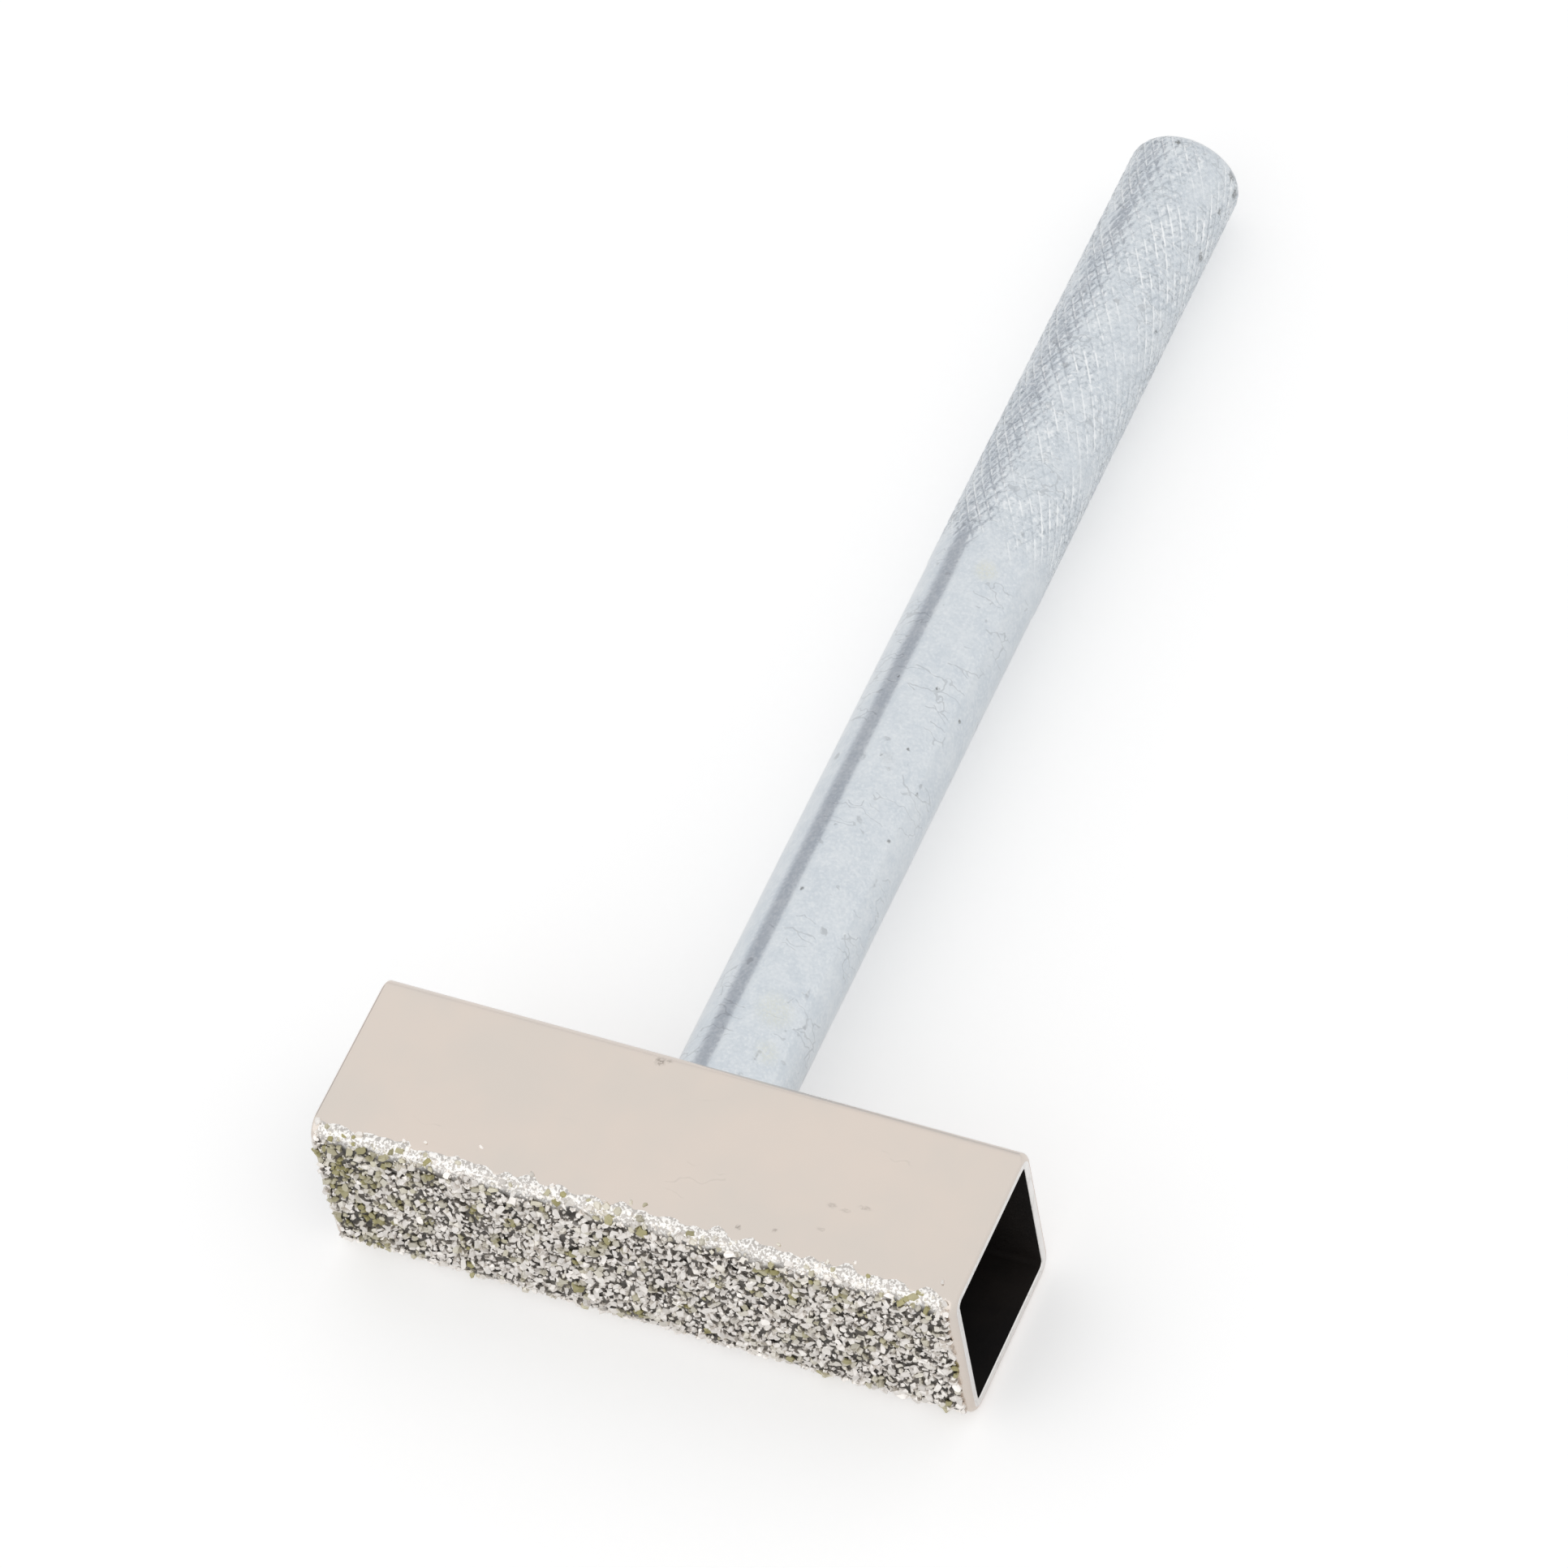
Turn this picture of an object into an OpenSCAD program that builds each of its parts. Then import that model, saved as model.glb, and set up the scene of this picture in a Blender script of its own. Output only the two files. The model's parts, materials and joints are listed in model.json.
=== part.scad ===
// Hand-held wheel dresser: a short square tube with abrasive grit plated on its front,
// and a round handle welded to its back. All sizes are in millimetres.
// The tool lies on a flat surface, on its head and the tip of its handle.

/* [Head] */
// Length of the square tube
head_length = 45; // [30:1:80]
// Outside width of the square tube, across its flats
tube_side = 13; // [12.5:0.5:20]
// Wall of the tube
tube_wall = 1; // [0.6:0.1:1.3]
// Radius of the tube's corners on the inside
tube_inner_corner = 0.4; // [0.2:0.05:0.7]

/* [Grit] */
// Thickness of the grit and the metal that bonds it, on the front face
grit_thickness = 0.3; // [0.15:0.05:0.6]
// Angle that the grit goes round each front corner, thinning as it goes
grit_reach = 65; // [30:5:75]
// Bare strip that the grit leaves at each end of the tube
grit_end_margin = 0.5; // [0.2:0.1:3]

/* [Handle] */
// Diameter of the plain part of the handle
shank_diameter = 7.9; // [6:0.1:8.4]
// Length of the handle behind the tube
handle_length = 84; // [60:1:140]
// Length of the knurled grip at the handle's free end
grip_length = 39; // [20:1:50]
// Height that the knurl's crests stand above the plain part
knurl_rise = 0.05; // [0.02:0.01:0.15]
// Length of the taper at the start of the knurl
knurl_runout = 0.4; // [0.2:0.1:1]
// Radius that rounds the free end's rim
tip_round = 1.4; // [0.6:0.1:2.4]

/* [Weld] */
// Leg of the weld fillet around the handle's foot, and of the bevel under it that the weld fills
weld_leg = 0.8; // [0.4:0.1:1]
// Share of the leg by which the fillet's hollow is set out, where 1 meets both faces as a tangent
weld_hollow = 1.15; // [1.05:0.05:1.6]

/* [Hidden] */
$fn = 96;

tube_corner = tube_inner_corner + tube_wall;
tube_bore = tube_side - 2 * tube_wall;
shank_radius = shank_diameter / 2;
grip_radius = shank_radius + knurl_rise;
grip_start = handle_length - grip_length;
flat_half = tube_side / 2 - tube_corner;

// The tool's own frame has X along the head, Y along the handle from the tube's front face, Z across both.
// It lies on the tube's lower back corner and the rim of the handle's tip, so these two round edges
// set how far the handle dips. Both are given by their centres in Y and Z.
corner_centre = [tube_side - tube_corner, -flat_half];
rim_centre = [tube_side + handle_length - tip_round, tip_round - grip_radius];
span = rim_centre - corner_centre;
rest_dip = atan2(span[1], span[0]) + asin((tube_corner - tip_round) / norm(span));

// Place along the surface and height of a point once the handle has dipped
function along(p) = p[0] * cos(rest_dip) + p[1] * sin(rest_dip);
function height(p) = p[1] * cos(rest_dip) - p[0] * sin(rest_dip);

floor_height = height(corner_centre) - tube_corner;
front_end = along([tube_corner - grit_thickness, -flat_half]) - tube_corner;
back_end = along([rim_centre[0], -rim_centre[1]]) + tip_round;

// Sets the tool down with the middle of its footprint at the origin
module as_it_lies() {
    translate([0, -(front_end + back_end) / 2, -floor_height])
        rotate([-rest_dip, 0, 0])
            children();
}

// Square with round corners, in the tube's section, with the tube's front face at zero
module tube_section(side, corner) {
    translate([tube_side / 2, 0]) {
        square([side, side - 2 * corner], center = true);
        square([side - 2 * corner, side], center = true);
        for (y = [-1, 1], z = [-1, 1])
            translate([y, z] * (side / 2 - corner))
                circle(corner);
    }
}

// Runs a section drawn in Y and Z along the head, centred on the handle
module along_head(length) {
    rotate([90, 0, 90])
        linear_extrude(length, center = true)
            children();
}

// Turns a profile of radius and length about the handle's axis, from the back of the tube
module about_handle() {
    translate([0, tube_side, 0])
        rotate([-90, 0, 0])
            rotate_extrude()
                children();
}

// Square steel tube, plated, open at both ends
module head_tube() {
    color([0.86, 0.81, 0.77])
        along_head(head_length)
            difference() {
                tube_section(tube_side, tube_corner);
                tube_section(tube_bore, tube_inner_corner);
            }
}

// Layer of grit in plated metal, over the tube's front face and part of the way round its front corners
module grit_layer() {
    grit_height = 2 * (flat_half + tube_corner * sin(grit_reach));
    color([0.62, 0.60, 0.54])
        along_head(head_length - 2 * grit_end_margin)
            intersection() {
                difference() {
                    translate([-grit_thickness, 0])
                        tube_section(tube_side, tube_corner);
                    tube_section(tube_side, tube_corner);
                }
                translate([-grit_thickness, -grit_height / 2])
                    square([grit_thickness + tube_corner, grit_height]);
            }
}

// Solid round handle with a bevelled foot, a plain shank and a knurled grip, whose crests the solid follows
module handle() {
    grip_end = handle_length - tip_round;
    color([0.82, 0.84, 0.86])
        about_handle() {
            polygon([
                [0, 0],
                [shank_radius - weld_leg, 0],
                [shank_radius, weld_leg],
                [shank_radius, grip_start],
                [grip_radius, grip_start + knurl_runout],
                [grip_radius, grip_end],
                [0, grip_end]
            ]);
            translate([0, grip_end]) {
                square([grip_radius - tip_round, tip_round]);
                translate([grip_radius - tip_round, 0])
                    intersection() {
                        circle(tip_round);
                        square(tip_round);
                    }
            }
        }
}

// Weld metal between the back of the tube and the bevel of the handle's foot, with a hollow outer face
module weld_fillet() {
    hollow = weld_leg * weld_hollow;
    color([0.80, 0.77, 0.74])
        about_handle()
            translate([shank_radius, 0])
                difference() {
                    polygon([[-weld_leg, 0], [weld_leg, 0], [weld_leg, weld_leg], [0, weld_leg]]);
                    translate([hollow, hollow])
                        circle(norm([hollow, hollow - weld_leg]));
                }
}

as_it_lies() head_tube();
as_it_lies() grit_layer();
as_it_lies() handle();
as_it_lies() weld_fillet();
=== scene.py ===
import json
import math
import random

import bmesh
import bpy
from mathutils import Matrix, Vector, noise


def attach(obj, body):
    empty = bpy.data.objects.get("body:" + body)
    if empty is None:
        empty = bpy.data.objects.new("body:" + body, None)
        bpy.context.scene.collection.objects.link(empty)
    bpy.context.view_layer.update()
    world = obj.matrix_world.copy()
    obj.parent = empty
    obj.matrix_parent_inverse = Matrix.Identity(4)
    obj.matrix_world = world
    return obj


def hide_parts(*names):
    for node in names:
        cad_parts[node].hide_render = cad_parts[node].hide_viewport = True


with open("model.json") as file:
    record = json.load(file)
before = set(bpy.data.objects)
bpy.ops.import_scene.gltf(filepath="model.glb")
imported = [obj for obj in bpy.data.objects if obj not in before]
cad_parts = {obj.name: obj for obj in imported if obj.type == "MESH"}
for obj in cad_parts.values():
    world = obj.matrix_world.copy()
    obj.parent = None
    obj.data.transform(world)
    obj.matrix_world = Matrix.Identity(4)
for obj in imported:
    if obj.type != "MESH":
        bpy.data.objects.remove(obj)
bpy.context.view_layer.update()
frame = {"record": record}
scene = bpy.context.scene
scene.view_settings.view_transform = "Standard"

# Pieces are modelled in millimetres in the tool's own frame: X along the head, Y along the handle
# from the tube's front face, Z across both. toolPlace then lays them down where the CAD lies.
mm = 0.001
nearly = 0.001           # lengths below this count as none, in millimetres
gritThickness = 0.3
mounts = {m["name"]: m for m in frame["record"]["mounts"]}
headAxis = Vector((1, 0, 0))
rodAxis = Vector(mounts["handle_rod"]["axis"]).normalized()
toolPlace = Matrix((headAxis, rodAxis, headAxis.cross(rodAxis))).transposed().to_4x4()
toolPlace.translation = Vector(mounts["working_face"]["pos_m"]) + rodAxis * gritThickness * mm
print("frame loaded, handle dips", round(math.degrees(math.asin(-rodAxis.z)), 3), "degrees")


def blendStep(low, high, value):
    t = min(max((value - low) / (high - low), 0), 1)
    return t * t * (3 - 2 * t)


# Shader helpers

def addNode(tree, kind, **values):
    node = tree.nodes.new("ShaderNode" + kind)
    for name, value in values.items():
        setattr(node, name, value)
    return node


def setInputs(node, **values):
    for name, value in values.items():
        node.inputs[name.replace("_", " ")].default_value = value
    return node


def newMaterial(name):
    made = bpy.data.materials.new(name)
    made.use_nodes = True
    tree = made.node_tree
    tree.nodes.clear()
    output = addNode(tree, "OutputMaterial")
    surface = addNode(tree, "BsdfPrincipled")
    tree.links.new(surface.outputs[0], output.inputs["Surface"])
    return made, tree, surface


def newGroup(name, inputs, outputs):
    group = bpy.data.node_groups.new(name, "ShaderNodeTree")
    for socketName, kind, value in inputs:
        socket = group.interface.new_socket(socketName, in_out="INPUT", socket_type="NodeSocket" + kind)
        if value is not None:
            socket.default_value = value
    for socketName, kind in outputs:
        group.interface.new_socket(socketName, in_out="OUTPUT", socket_type="NodeSocket" + kind)
    return group, group.nodes.new("NodeGroupInput"), group.nodes.new("NodeGroupOutput")


def placeGroup(tree, group, vector, **values):
    node = tree.nodes.new("ShaderNodeGroup")
    node.node_tree = group
    tree.links.new(vector, node.inputs["Vector"])
    return setInputs(node, **values)


def mixColour(tree, factor, first, second):
    node = addNode(tree, "Mix", data_type="RGBA")
    for socket, value in ((node.inputs[0], factor), (node.inputs[6], first), (node.inputs[7], second)):
        if isinstance(value, bpy.types.NodeSocket):
            tree.links.new(value, socket)
        elif isinstance(value, tuple):
            socket.default_value = (*value, 1)
        else:
            socket.default_value = value
    return node.outputs[2]


def remap(tree, value, low, high, toLow, toHigh):
    node = addNode(tree, "MapRange", interpolation_type="SMOOTHSTEP")
    tree.links.new(value, node.inputs["Value"])
    for socketName, number in (("From Min", low), ("From Max", high), ("To Min", toLow), ("To Max", toHigh)):
        node.inputs[socketName].default_value = number
    return node.outputs["Result"]


def doMath(tree, operation, first, second):
    node = addNode(tree, "Math", operation=operation)
    for socket, value in zip(node.inputs, (first, second)):
        if isinstance(value, bpy.types.NodeSocket):
            tree.links.new(value, socket)
        else:
            socket.default_value = value
    return node.outputs[0]


# Uneven plating: broad patches, a fine grain and the height that goes with it
def makePlatingGroup():
    group, source, target = newGroup(
        "unevenPlating",
        [("Vector", "Vector", None), ("Patch Scale", "Float", 300), ("Grain Scale", "Float", 4000)],
        [("Patch", "Float"), ("Grain", "Float"), ("Height", "Float")])
    patch = setInputs(addNode(group, "TexNoise"), Detail=4, Roughness=0.6)
    grain = setInputs(addNode(group, "TexNoise"), Detail=3, Roughness=0.55)
    for node, scaleName in ((patch, "Patch Scale"), (grain, "Grain Scale")):
        group.links.new(source.outputs["Vector"], node.inputs["Vector"])
        group.links.new(source.outputs[scaleName], node.inputs["Scale"])
    group.links.new(remap(group, patch.outputs[0], 0.3, 0.7, 0, 1), target.inputs["Patch"])
    group.links.new(remap(group, grain.outputs[0], 0.25, 0.75, 0, 1), target.inputs["Grain"])
    height = doMath(group, "ADD", doMath(group, "MULTIPLY", patch.outputs[0], 2), grain.outputs[0])
    group.links.new(height, target.inputs["Height"])
    return group


# Scattered pits and specks: small cells, most of them switched off by a broad noise and by chance
def makeSpeckGroup():
    group, source, target = newGroup(
        "scatteredSpecks",
        [("Vector", "Vector", None), ("Scale", "Float", 1500), ("Size", "Float", 0.3), ("Chance", "Float", 0.1)],
        [("Mask", "Float")])
    warp = setInputs(addNode(group, "TexNoise"), Scale=2500, Detail=2)
    push = addNode(group, "VectorMath", operation="MULTIPLY_ADD")
    push.inputs[1].default_value = (0.0006, 0.0006, 0.0006)
    cells = addNode(group, "TexVoronoi")
    group.links.new(source.outputs["Vector"], warp.inputs["Vector"])
    group.links.new(warp.outputs["Color"], push.inputs[0])
    group.links.new(source.outputs["Vector"], push.inputs[2])
    group.links.new(push.outputs[0], cells.inputs["Vector"])
    group.links.new(source.outputs["Scale"], cells.inputs["Scale"])
    split = addNode(group, "SeparateColor")
    group.links.new(cells.outputs["Color"], split.inputs[0])
    picked = doMath(group, "LESS_THAN", split.outputs[0], source.outputs["Chance"])
    reach = doMath(group, "MULTIPLY", source.outputs["Size"], split.outputs[1])
    inside = doMath(group, "SUBTRACT", 1, doMath(group, "DIVIDE", cells.outputs["Distance"], reach))
    group.links.new(doMath(group, "MULTIPLY", picked, remap(group, inside, 0, 0.5, 0, 1)), target.inputs["Mask"])
    return group


# Hairline scratches: thin bent walls of stretched cells, kept only here and there
def makeScratchGroup():
    group, source, target = newGroup(
        "hairScratches",
        [("Vector", "Vector", None), ("Scale", "Float", 120), ("Width", "Float", 0.02), ("Cover", "Float", 0.6)],
        [("Mask", "Float")])
    bend = setInputs(addNode(group, "TexNoise"), Scale=900, Detail=2)
    push = addNode(group, "VectorMath", operation="MULTIPLY_ADD")
    push.inputs[1].default_value = (0.0014, 0.0014, 0.0014)
    stretch = addNode(group, "Mapping")
    stretch.inputs["Rotation"].default_value = (0.3, 0.2, 0.5)
    stretch.inputs["Scale"].default_value = (0.25, 2.2, 1)
    cells = addNode(group, "TexVoronoi", feature="DISTANCE_TO_EDGE")
    cover = setInputs(addNode(group, "TexNoise"), Scale=260, Detail=2)
    group.links.new(source.outputs["Vector"], bend.inputs["Vector"])
    group.links.new(bend.outputs["Color"], push.inputs[0])
    group.links.new(source.outputs["Vector"], push.inputs[2])
    group.links.new(push.outputs[0], stretch.inputs["Vector"])
    group.links.new(stretch.outputs[0], cells.inputs["Vector"])
    group.links.new(source.outputs["Scale"], cells.inputs["Scale"])
    group.links.new(source.outputs["Vector"], cover.inputs["Vector"])
    line = doMath(group, "LESS_THAN", cells.outputs["Distance"], source.outputs["Width"])
    kept = doMath(group, "GREATER_THAN", cover.outputs[0], source.outputs["Cover"])
    group.links.new(doMath(group, "MULTIPLY", line, kept), target.inputs["Mask"])
    return group


# One small mark with a ragged border round a given point, drawn out where its stretch is less than one
def makeMarkGroup():
    group, source, target = newGroup(
        "singleMark",
        [("Vector", "Vector", None), ("Centre", "Vector", None), ("Stretch", "Vector", (1, 1, 1)),
         ("Radius", "Float", 0.0003)],
        [("Mask", "Float")])
    ragged = setInputs(addNode(group, "TexNoise"), Scale=4500, Detail=3)
    push = addNode(group, "VectorMath", operation="MULTIPLY_ADD")
    push.inputs[1].default_value = (0.0003, 0.0003, 0.0003)
    away = addNode(group, "VectorMath", operation="SUBTRACT")
    drawn = addNode(group, "VectorMath", operation="MULTIPLY")
    reach = addNode(group, "VectorMath", operation="LENGTH")
    group.links.new(source.outputs["Vector"], ragged.inputs["Vector"])
    group.links.new(ragged.outputs["Color"], push.inputs[0])
    group.links.new(source.outputs["Vector"], push.inputs[2])
    group.links.new(push.outputs[0], away.inputs[0])
    group.links.new(source.outputs["Centre"], away.inputs[1])
    group.links.new(away.outputs[0], drawn.inputs[0])
    group.links.new(source.outputs["Stretch"], drawn.inputs[1])
    group.links.new(drawn.outputs[0], reach.inputs[0])
    share = doMath(group, "DIVIDE", reach.outputs["Value"], source.outputs["Radius"])
    flecks = setInputs(addNode(group, "TexNoise"), Scale=7000, Detail=2)
    group.links.new(source.outputs["Vector"], flecks.inputs["Vector"])
    blotch = remap(group, flecks.outputs[0], 0.38, 0.58, 0.25, 1)
    group.links.new(doMath(group, "MULTIPLY", remap(group, share, 0.3, 1, 1, 0), blotch), target.inputs["Mask"])
    return group


platingGroup = makePlatingGroup()
speckGroup = makeSpeckGroup()
scratchGroup = makeScratchGroup()
markGroup = makeMarkGroup()


# Lays marks over a colour, each given by its place on the tool, its radius, its strength and its stretch
def addMarks(tree, place, colour, marks, shade):
    middle = Vector((0.15, 0.15, 0.15))      # the ragged border's mean shift
    for spot, radius, strength, *stretch in marks:
        mark = placeGroup(tree, markGroup, place, Centre=toolPlace @ (Vector(spot) * mm) + middle * mm,
                          Radius=radius * mm)
        if stretch:
            mark.inputs["Stretch"].default_value = stretch[0]
        colour = mixColour(tree, doMath(tree, "MULTIPLY", mark.outputs[0], strength), colour, shade)
    return colour


def addBump(tree, surface, height, strength, distance):
    bump = setInputs(addNode(tree, "Bump"), Strength=strength, Distance=distance)
    tree.links.new(height, bump.inputs["Height"])
    tree.links.new(bump.outputs[0], surface.inputs["Normal"])


# Pale warm nickel on the tube and the weld
nickelLook = {
    "pale": (0.700, 0.636, 0.578),
    "warm": (0.742, 0.657, 0.589),
    "worn": (0.46, 0.41, 0.38),
    "stain": (0.27, 0.24, 0.21),
    "rough": (0.19, 0.24),
    "scratchShare": 0.12,
    "speckShare": 0.4,
    "marks": [((-2.65, 11.85, 6.5), 0.5, 0.7), ((-2.1, 12.1, 6.5), 0.3, 0.5),
              ((12.25, 4.9, 6.5), 0.26, 0.30, (0.5, 1, 1)), ((14.35, 5.35, 6.5), 0.24, 0.32, (0.4, 1, 1)),
              ((13.25, 4.8, 6.5), 0.2, 0.22, (0.4, 1, 1)), ((12.3, 3.0, 6.5), 0.2, 0.25, (0.5, 1, 1)),
              ((7.2, 1.5, 6.5), 0.26, 0.6), ((9.5, 2.0, 6.5), 0.22, 0.5)],
}


def makeNickel():
    made, tree, surface = newMaterial("nickelPlate")
    place = addNode(tree, "TexCoord").outputs["Object"]
    plating = placeGroup(tree, platingGroup, place, Patch_Scale=140, Grain_Scale=2600)
    specks = placeGroup(tree, speckGroup, place, Scale=420, Size=0.14, Chance=0.05)
    scratches = placeGroup(tree, scratchGroup, place, Scale=110, Width=0.005, Cover=0.64)
    colour = mixColour(tree, plating.outputs["Patch"], nickelLook["pale"], nickelLook["warm"])
    for flaw, share in ((scratches, nickelLook["scratchShare"]), (specks, nickelLook["speckShare"])):
        colour = mixColour(tree, doMath(tree, "MULTIPLY", flaw.outputs[0], share), colour, nickelLook["worn"])
    colour = addMarks(tree, place, colour, nickelLook["marks"], nickelLook["stain"])
    tree.links.new(colour, surface.inputs["Base Color"])
    tree.links.new(remap(tree, plating.outputs["Patch"], 0, 1, *nickelLook["rough"]), surface.inputs["Roughness"])
    surface.inputs["Metallic"].default_value = 1
    addBump(tree, surface, plating.outputs["Height"], 0.06, 0.00002)
    return made


# Sawn and brushed rim at the tube's ends
cutEdgeLook = {
    "dark": (0.84, 0.82, 0.80),
    "light": (0.90, 0.885, 0.87),
    "scratch": (0.62, 0.60, 0.58),
    "scratchShare": 0.3,
    "rough": (0.28, 0.42),
}


def makeCutEdge():
    made, tree, surface = newMaterial("cutEdge")
    place = addNode(tree, "TexCoord").outputs["Object"]
    plating = placeGroup(tree, platingGroup, place, Patch_Scale=500, Grain_Scale=3000)
    scratches = placeGroup(tree, scratchGroup, place, Scale=500, Width=0.05, Cover=0.5)
    colour = mixColour(tree, plating.outputs["Patch"], cutEdgeLook["dark"], cutEdgeLook["light"])
    scratched = doMath(tree, "MULTIPLY", scratches.outputs[0], cutEdgeLook["scratchShare"])
    colour = mixColour(tree, scratched, colour, cutEdgeLook["scratch"])
    tree.links.new(colour, surface.inputs["Base Color"])
    tree.links.new(remap(tree, plating.outputs["Grain"], 0, 1, *cutEdgeLook["rough"]), surface.inputs["Roughness"])
    surface.inputs["Metallic"].default_value = 1
    addBump(tree, surface, plating.outputs["Height"], 0.2, 0.00002)
    return made


# Weld metal: duller and rougher than the plate round it
weldLook = {
    "dark": (0.46, 0.46, 0.46),
    "light": (0.60, 0.60, 0.60),
    "pit": (0.22, 0.21, 0.20),
    "pitShare": 0.6,
    "rough": (0.4, 0.6),
}


def makeWeldMetal():
    made, tree, surface = newMaterial("weldMetal")
    place = addNode(tree, "TexCoord").outputs["Object"]
    plating = placeGroup(tree, platingGroup, place, Patch_Scale=900, Grain_Scale=3800)
    specks = placeGroup(tree, speckGroup, place, Scale=1100, Size=0.4, Chance=0.2)
    colour = mixColour(tree, plating.outputs["Patch"], weldLook["dark"], weldLook["light"])
    pitted = doMath(tree, "MULTIPLY", specks.outputs[0], weldLook["pitShare"])
    colour = mixColour(tree, pitted, colour, weldLook["pit"])
    tree.links.new(colour, surface.inputs["Base Color"])
    tree.links.new(remap(tree, plating.outputs["Grain"], 0, 1, *weldLook["rough"]), surface.inputs["Roughness"])
    surface.inputs["Metallic"].default_value = 1
    addBump(tree, surface, plating.outputs["Height"], 0.3, 0.00004)
    return made


# Bare steel inside the tube; its near-black colour is painted shade for the dark inside of the bore
boreShadeLook = {
    "dark": (0.010, 0.009, 0.009),
    "light": (0.020, 0.016, 0.014),
    "rough": (0.6, 0.8),
    "specular": 0.15,
}


def makeBore():
    made, tree, surface = newMaterial("boreSteelShade")
    place = addNode(tree, "TexCoord").outputs["Object"]
    plating = placeGroup(tree, platingGroup, place, Patch_Scale=220, Grain_Scale=2400)
    # Near-black base colour: painted shade of the bore
    colour = mixColour(tree, plating.outputs["Patch"], boreShadeLook["dark"], boreShadeLook["light"])
    tree.links.new(colour, surface.inputs["Base Color"])
    tree.links.new(remap(tree, plating.outputs["Grain"], 0, 1, *boreShadeLook["rough"]), surface.inputs["Roughness"])
    surface.inputs["Specular IOR Level"].default_value = boreShadeLook["specular"]
    addBump(tree, surface, plating.outputs["Height"], 0.3, 0.00005)
    return made


# Bluish white zinc on the handle
zincLook = {
    "cool": (0.620, 0.667, 0.711),
    "light": (0.696, 0.734, 0.766),
    "green": (0.690, 0.700, 0.610),
    "crest": (0.76, 0.79, 0.81),
    "grooveShade": (0.42, 0.46, 0.50),
    "dirt": (0.13, 0.13, 0.125),
    "scuff": (0.40, 0.42, 0.44),
    "crestShare": 0.55,
    "lowShare": 0.14,
    "scratchShare": 0.42,
    "speckShare": 0.6,
    "rough": (0.14, 0.24),
    "knurlRough": 0.14,
    "grooveHighlight": (0.93, 0.945, 0.955),
    "highlightShift": 0.16,   # how far the painted highlight lies from its groove, as a share of the spacing
    "grooveShadeShare": 0.7,
    "fleckScale": 3300,
    "fleckLight": 0.7,
    "fleckDark": 0.85,
    "fleckRise": 32,     # height of the flecks on the knurl, against that of the plating
    "bump": 0.0000024,
    "pits": [((1.82, 47.09, 3.50), 0.26, 0.9), ((3.56, 46.24, 1.70), 0.2, 0.9), ((1.87, 41.87, 3.48), 0.16, 0.7),
             ((0.51, 40.65, 3.92), 0.17, 0.6), ((3.30, 39.47, 2.16), 0.2, 0.7), ((3.11, 35.16, 2.43), 0.2, 0.7),
             ((1.75, 30.01, 3.54), 0.2, 0.45), ((-0.27, 28.96, 3.94), 0.22, 0.8), ((-0.93, 47.06, 3.84), 0.15, 0.6),
             ((-0.06, 95.80, 4.00), 0.3, 0.8), ((3.71, 95.93, 1.49), 0.5, 0.7), ((3.99, 95.39, 0.30), 0.6, 0.7),
             ((3.85, 92.99, 1.08), 0.35, 0.7), ((3.94, 89.10, 0.67), 0.45, 0.75), ((3.72, 81.41, 1.47), 0.25, 0.6)],
    "scuffs": [((1.87, 15.89, 3.48), 0.2, 0.6, (1, 0.35, 1)), ((1.96, 16.35, 3.43), 0.16, 0.5, (0.4, 1, 1)),
               ((2.89, 21.93, 2.69), 0.18, 0.6, (1, 0.3, 1)), ((3.28, 16.75, 2.20), 0.18, 0.5, (0.4, 1, 0.6)),
               ((1.51, 14.24, 3.65), 0.2, 0.5, (0.4, 1, 1)), ((0.36, 41.99, 3.93), 0.14, 0.6, (0.3, 0.6, 1)),
               ((1.33, 39.87, 3.72), 0.16, 0.5, (0.35, 0.8, 1)), ((3.41, 31.93, 1.99), 0.16, 0.5, (1, 0.25, 1)),
               ((0.95, 40.6, 3.83), 0.4, 0.25, (0.6, 0.6, 1)), ((-0.6, 40.2, 3.9), 0.16, 0.5, (0.5, 0.35, 1))],
    "stains": [((1.26, 57.15, 3.74), 1.1, 0.6), ((1.69, 19.60, 3.57), 1.8, 0.45), ((2.34, 16.59, 3.18), 1.2, 0.4)],
}


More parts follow.
